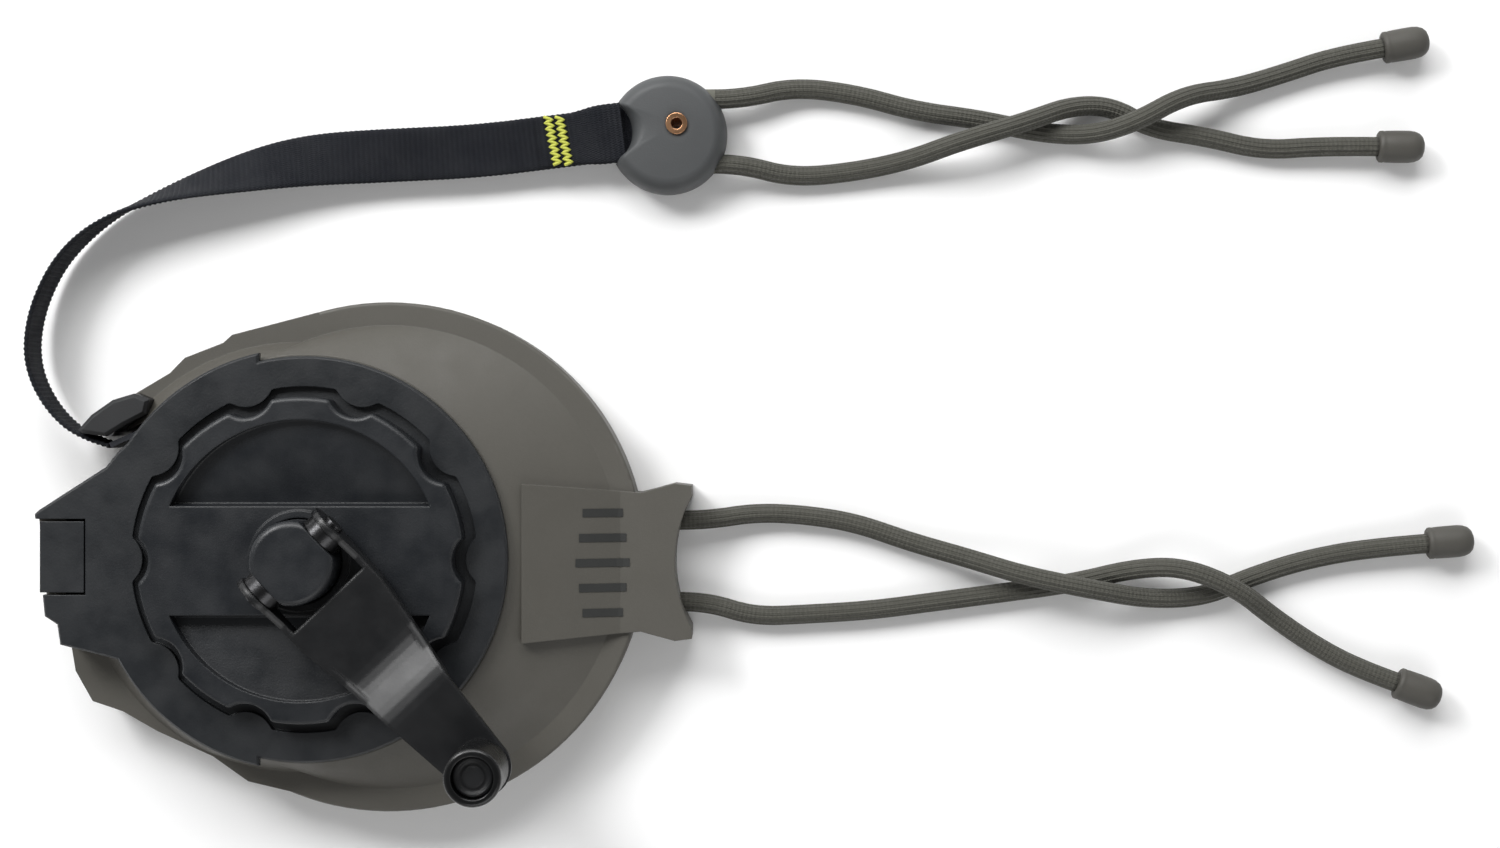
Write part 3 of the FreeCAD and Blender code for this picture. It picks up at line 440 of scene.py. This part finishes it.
def strap_ring(mark, place, ahead, width_share=1.0, raise_by=0.0, turned=None):
    """The strap's section: across runs from edge to edge, and face points out of its front."""
    left = UP.cross(ahead).normalized()
    quarter = math.radians(90) * eased((mark - TURN_START) / (TURN_END - TURN_START))
    turn = quarter if turned is None else turned
    face = left * math.cos(turn) + UP * math.sin(turn)
    across = UP * math.cos(turn) - left * math.sin(turn)
    rib = RIB_HEIGHT * math.sin(math.tau * mark / RIB_PITCH)
    half_width = STRAP_WIDTH / 2 * width_share + rib * 0.5
    half_thick = STRAP_THICK / 2
    centre = place + face * raise_by
    front, back = [], []
    for number in range(STEPS_ACROSS + 1):
        share = -1 + 2 * number / STEPS_ACROSS
        edge = abs(share) > 0.99
        height = half_thick * EDGE_THINNING if edge else half_thick + rib
        front.append(centre + across * half_width * share + face * height)
        back.append(centre + across * half_width * share - face * height)
    return front + list(reversed(back))


def directions(stations):
    """Each station with the line's direction there."""
    places = [place for _, place in stations]
    for number, (mark, place) in enumerate(stations):
        ahead = places[min(number + 1, len(places) - 1)] - places[max(number - 1, 0)]
        yield mark, place, ahead.normalized()


strap_path = smooth_line("strap", STRAP)
strap_stations = walk(strap_path, STRAP_STEP)
strap_rings = [strap_ring(*station) for station in directions(strap_stations)]
strap = skin("strap", strap_rings, [mark for mark, _ in strap_stations])
strap.data.materials.append(webbing)
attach(strap, "housing")
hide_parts("strap_edge", "strap_flat")
strap_long = path_length(strap_path)
print("strap shown:", round(strap_long / MM, 1), "mm")

# %% Fold the end back and sew it
FOLD_START, FOLD_END = strap_long - 24 * MM, strap_long - 3.5 * MM
LAYER_GAP, CUT_EDGE_LIFT, LOOP_LIFT = 0.1 * MM, 0.2 * MM, 1.3 * MM


def fold_lift(mark):
    """The second layer lies on the first, with a slightly raised cut edge."""
    cut_edge = CUT_EDGE_LIFT * (1 - eased((mark - FOLD_START) / (2.5 * MM)))
    loop = LOOP_LIFT * eased((mark - FOLD_START - 8 * MM) / (7 * MM))
    return STRAP_THICK * 1.04 + LAYER_GAP + cut_edge + loop


def fold_spread(mark):
    """The doubled end spreads towards the toggle, where it is pulled round a bar."""
    return 0.97 + 0.14 * eased((mark - FOLD_START - 7 * MM) / (9 * MM))


fold_rings = [strap_ring(*station, width_share=fold_spread(station[0]), raise_by=fold_lift(station[0]),
                         turned=math.radians(90))
              for station in directions(strap_stations) if FOLD_START <= station[0] <= FOLD_END]
fold_marks = [mark for mark, _ in strap_stations if FOLD_START <= mark <= FOLD_END]
strap_fold = skin("strap_fold", fold_rings, fold_marks)
strap_fold.data.materials.append(webbing)
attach(strap_fold, "housing")

# %% [markdown]
# ## The stitching
# Two bar tacks hold the fold. A bar tack is a dense zigzag of bright thread across the strap, so each is
# one thin thread that goes to and fro, drawn as a round tube that rises a little over the webbing.

# %% Sew the two bar tacks
THREAD_RADIUS = 0.40 * MM
THREAD_ARCH = 0.16 * MM
TACK_LOW, TACK_HIGH = 93.0, 104.4
TACK_REACH, TACK_ROWS, TACK_LEAN = 0.95, 8, -2.3
RUN_STEPS = 4


def zigzag(start_x, top):
    """The thread's turning points, in metres: it crosses to and fro while it goes up the strap."""
    points = []
    for number in range(TACK_ROWS * 2 + 1):
        share = number / (TACK_ROWS * 2)
        y = TACK_LOW + (TACK_HIGH - TACK_LOW) * share
        x = start_x + TACK_LEAN * (share - 0.5) + (TACK_REACH if number % 2 else -TACK_REACH)
        points.append(Vector((x, y, top)) * MM)
    return points


def round_tube(name, points, radius, around=8):
    frames = carried_frames(list(zip([radius * n for n in range(len(points))], points)))
    turns = [math.tau * n / around for n in range(around)]
    rings = [[place + (side * math.cos(turn) + lift * math.sin(turn)) * radius for turn in turns]
             for _, place, side, lift in frames]
    return skin(name, rings, [mark for mark, *_ in frames])


def sew(name, start_x, top):
    corners = zigzag(start_x, top)
    points = []
    for a, b in zip(corners, corners[1:]):
        for step in range(RUN_STEPS):
            share = step / RUN_STEPS
            lift = Vector((0, 0, THREAD_ARCH * math.sin(math.pi * share)))
            points.append(a.lerp(b, share) + lift)
    tack = round_tube(name, points + [corners[-1]], THREAD_RADIUS)
    tack.data.materials.append(thread)
    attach(tack, "housing")
    return tack


stitch_top = 5.3 + (STRAP_THICK / MM) * 1.54 + 0.2
first_tack = sew("bar_tack_near", 56.0, stitch_top)
second_tack = sew("bar_tack_far", 58.7, stitch_top)
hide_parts("strap_stitching")

# %% [markdown]
# ## The toggle
# The toggle is a moulded grey button with a bite out of its left side, where the strap's end goes in.
# Seen from above, every point of its edge can be seen from the rivet, so it is built as rings round the
# rivet: each ring is the outline, drawn smaller, at the height of a pillow-shaped side.

# %% Make the toggle
TOGGLE_CENTRE = Vector((83.4, 100.2, 0)) * MM
RIVET_PLACE = Vector((85.6, 102.4, 0)) * MM
TOGGLE_RADIUS = 14.2 * MM
BITE_CENTRE = Vector((66.9, 100.8, 0)) * MM
BITE_RADIUS = 8.0 * MM
RIVET_HOLE = 1.8
TOGGLE_TOP, TOGGLE_WAIST, TOGGLE_BOTTOM = 10.6, 5.2, 0.7
SHOULDER, HEEL = 3.6, 1.2
SHOULDER_ROWS, HEEL_ROWS = 10, 6
EDGE_POINTS = 180


def edge_distance(direction, centre, radius, far):
    """How far from the rivet a circle is met in a direction, or None."""
    offset = RIVET_PLACE - centre
    along = offset.dot(direction)
    inside = along * along - (offset.length_squared - radius * radius)
    if inside < 0:
        return None
    root = math.sqrt(inside)
    return -along + (root if far else -root)


def toggle_edge(turn):
    direction = Vector((math.cos(turn), math.sin(turn), 0))
    reach = edge_distance(direction, TOGGLE_CENTRE, TOGGLE_RADIUS, far=True)
    bite = edge_distance(direction, BITE_CENTRE, BITE_RADIUS, far=False)
    if bite is not None and 0 < bite < reach:
        reach = bite
    return direction, reach


def toggle_side():
    """How far in from the outline, in mm, and how high: over the top, round the side, and underneath."""
    quarter = math.radians(90)
    over = [quarter * k / SHOULDER_ROWS for k in range(SHOULDER_ROWS + 1)]
    under = [quarter * k / HEEL_ROWS for k in range(1, HEEL_ROWS + 1)]
    rise, drop = TOGGLE_TOP - TOGGLE_WAIST, TOGGLE_WAIST - TOGGLE_BOTTOM
    rows = [(SHOULDER * (1 - math.sin(turn)), TOGGLE_WAIST + rise * math.cos(turn)) for turn in over]
    rows += [(HEEL * (1 - math.cos(turn)), TOGGLE_WAIST - drop * math.sin(turn)) for turn in under]
    return rows


def toggle_ring(inset, height):
    return [RIVET_PLACE + direction * (reach - inset * MM) + UP * height * MM
            for direction, reach in outline]


def hole_ring(radius, height):
    return [RIVET_PLACE + direction * radius * MM + UP * height * MM for direction, _ in outline]


outline = [toggle_edge(math.tau * n / EDGE_POINTS) for n in range(EDGE_POINTS)]
side_rows = toggle_side()
toggle_rings = [hole_ring(radius, height) for radius, height in
                ((RIVET_HOLE, 10.3), (2.1, 10.75), (3.2, 10.85), (5.0, 10.78))]
toggle_rings += [toggle_ring(inset, height) for inset, height in side_rows]
foot = side_rows[-1][1]
toggle_rings += [hole_ring(5.0, foot), hole_ring(RIVET_HOLE, foot)]
toggle = skin("toggle_button", toggle_rings, [0.0] * len(toggle_rings), closed_ends=False)
toggle.data.materials.append(grey_toggle)
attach(toggle, "housing")
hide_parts("toggle_front", "toggle_rear")

# %% [markdown]
# ## Marks on the tab
# The tab's face carries a plain inlay: five short bars of dark paint. They are thin raised plates, and
# they follow the slope of the tab's face so that none sinks in or floats.

# %% Make the bars
SLOPE_FOOT = Vector((72.5, 0, 14.9)) * MM
SLOPE_RISE = 8.5 / 25.1
BAR_COUNT, BAR_X, TOP_BAR_Y, BAR_SPACING = 5, 68.5, 10.5, 5.85
LONGEST_BAR, BAR_SHORTENING, BAR_WIDTH = 12.5, 1.6, 1.9
BAR_GAP, BAR_HEIGHT = 0.05 * MM, 0.12 * MM


def face_height(x):
    return SLOPE_FOOT.z + max(0.0, (SLOPE_FOOT.x - x) * SLOPE_RISE)


def make_bar(name, x, y, length, width, finish):
    """A thin plate, tilted with the face under it."""
    mesh = bpy.data.meshes.new(name)
    shape = bmesh.new()
    bmesh.ops.create_grid(shape, x_segments=8, y_segments=2, size=0.5)
    for vertex in shape.verts:
        px, py = x + vertex.co.x * length, y + vertex.co.y * width
        vertex.co = (px, py, face_height(px) + BAR_GAP)
    made = bmesh.ops.extrude_face_region(shape, geom=shape.faces[:])
    for item in made["geom"]:
        if isinstance(item, bmesh.types.BMVert):
            item.co.z += BAR_HEIGHT
    bmesh.ops.recalc_face_normals(shape, faces=shape.faces[:])
    shape.to_mesh(mesh)
    shape.free()
    bar = bpy.data.objects.new(name, mesh)
    bpy.context.scene.collection.objects.link(bar)
    bar.data.materials.append(finish)
    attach(bar, "housing")
    return bar


bar_paint = finish_of("bar_paint", (0.018, 0.019, 0.018), rough=(0.5, 0.65), edge=0)
for number in range(BAR_COUNT):
    bar_length = LONGEST_BAR - BAR_SHORTENING * abs(number - BAR_COUNT // 2)
    make_bar(f"tab_bar_{number + 1}", BAR_X * MM, (TOP_BAR_Y - BAR_SPACING * number) * MM,
             bar_length * MM, BAR_WIDTH * MM, bar_paint)
print(BAR_COUNT, "bars on the tab")

# %% [markdown]
# ## Finishes on the finished solids
# The housing, the crank and the other solids already have their true shape, so each only gets its finish.

# %% Put the finishes on
FINISHES = {
    "olive_shell": olive_shell, "black_plate": black_plate, "black_cap": black_cap,
    "dark_guide": dark_guide, "black_steel": black_steel, "bright_steel": bright_steel,
    "spool_plastic": spool_plastic,
    "knob_plastic": knob_plastic, "black_webbing": webbing, "stitch_thread": thread,
    "grey_toggle": grey_toggle, "copper_rivet": copper, "olive_cord": cord_sleeve, "cap_rubber": cap_rubber}
plain_webbing = finish_of("wound_webbing", (0.0105, 0.0125, 0.0175), rough=(0.72, 0.9), edge=0)
plain_sleeve = finish_of("hidden_cord", (0.098, 0.097, 0.080), rough=(0.75, 0.9), edge=0)
for row in frame["record"]["subparts"]:
    node = frame["nodes"][row["node"]]
    finish = FINISHES[row["material_slot"]]
    if row["node"] in ("strap_coil", "strap_lead"):
        finish = plain_webbing
    if row["node"].endswith("bight"):
        finish = plain_sleeve
    if row["node"] in ("friction_washers", "crank_hinge_pin"):
        finish = dark_steel
    if row["node"] == "knob_rivet":
        finish = black_steel
    for number in range(len(node.material_slots)):
        node.material_slots[number].material = finish
    if not node.material_slots:
        node.data.materials.append(finish)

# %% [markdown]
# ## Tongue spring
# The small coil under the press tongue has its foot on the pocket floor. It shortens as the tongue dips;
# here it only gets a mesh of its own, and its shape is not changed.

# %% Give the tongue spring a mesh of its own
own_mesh(frame["nodes"]["brake_spring"])

# %% [markdown]
# ## Floor and light
# A plain pale floor, one large soft light from beyond the hoist's far side, a weak one from the near side,
# and a small one from the left that gives the shine on the arm's bend. The sky is bright near the horizon
# and darker overhead, so that the black faces that look straight up stay black.

# %% Lay the floor and hang the lights
floor_mesh = bpy.data.meshes.new("floor")
floor_mesh.from_pydata([(-3, -3, 0), (3, -3, 0), (3, 3, 0), (-3, 3, 0)], [], [(0, 1, 2, 3)])
floor = bpy.data.objects.new("floor", floor_mesh)
bpy.context.scene.collection.objects.link(floor)
floor.location.z = -0.0003
floor_paint = bpy.data.materials.new("floor_paint")
floor_paint.use_nodes = True
floor_paint.node_tree.nodes["Principled BSDF"].inputs["Base Color"].default_value = (0.94, 0.94, 0.94, 1)
floor_paint.node_tree.nodes["Principled BSDF"].inputs["Roughness"].default_value = 0.9
floor.data.materials.append(floor_paint)


def soft_light(name, place, target, size, power):
    data = bpy.data.lights.new(name, "AREA")
    data.shape = "RECTANGLE"
    data.size, data.size_y = size
    data.energy = power
    light = bpy.data.objects.new(name, data)
    bpy.context.scene.collection.objects.link(light)
    light.location = place
    light.rotation_euler = (Vector(target) - Vector(place)).to_track_quat("-Z", "Y").to_euler()
    return light


soft_light("far_window", (-0.15, 0.95, 0.85), (0.08, 0.0, 0.02), (1.4, 0.7), 17)
soft_light("bend_light", (-0.52, 0.56, 0.68), (0.02, -0.02, 0.04), (0.30, 0.30), 5)
soft_light("near_fill", (0.3, -0.8, 0.9), (0.08, 0.0, 0.02), (1.0, 0.6), 3.5)
SKY_LOW, SKY_HIGH = 0.15, 0.95
HORIZON_GREY, OVERHEAD_GREY = 0.95, 0.22
SKY_STRENGTH = 0.62
world = bpy.data.worlds.new("pale_room")
world.use_nodes = True
sky_nodes, sky_links = world.node_tree.nodes, world.node_tree.links
sky_height = sky_nodes.new("ShaderNodeSeparateXYZ")
sky_links.new(sky_nodes.new("ShaderNodeTexCoord").outputs["Generated"], sky_height.inputs[0])
sky_fade = sky_nodes.new("ShaderNodeMapRange")
sky_fade.inputs["From Min"].default_value = SKY_LOW
sky_fade.inputs["From Max"].default_value = SKY_HIGH
sky_fade.inputs["To Min"].default_value = HORIZON_GREY
sky_fade.inputs["To Max"].default_value = OVERHEAD_GREY
sky_links.new(sky_height.outputs[2], sky_fade.inputs["Value"])
sky_links.new(sky_fade.outputs[0], sky_nodes["Background"].inputs["Color"])
sky_nodes["Background"].inputs["Strength"].default_value = SKY_STRENGTH
bpy.context.scene.world = world
bpy.context.scene.view_settings.view_transform = "Standard"
print("three lights and a sky of strength", SKY_STRENGTH)
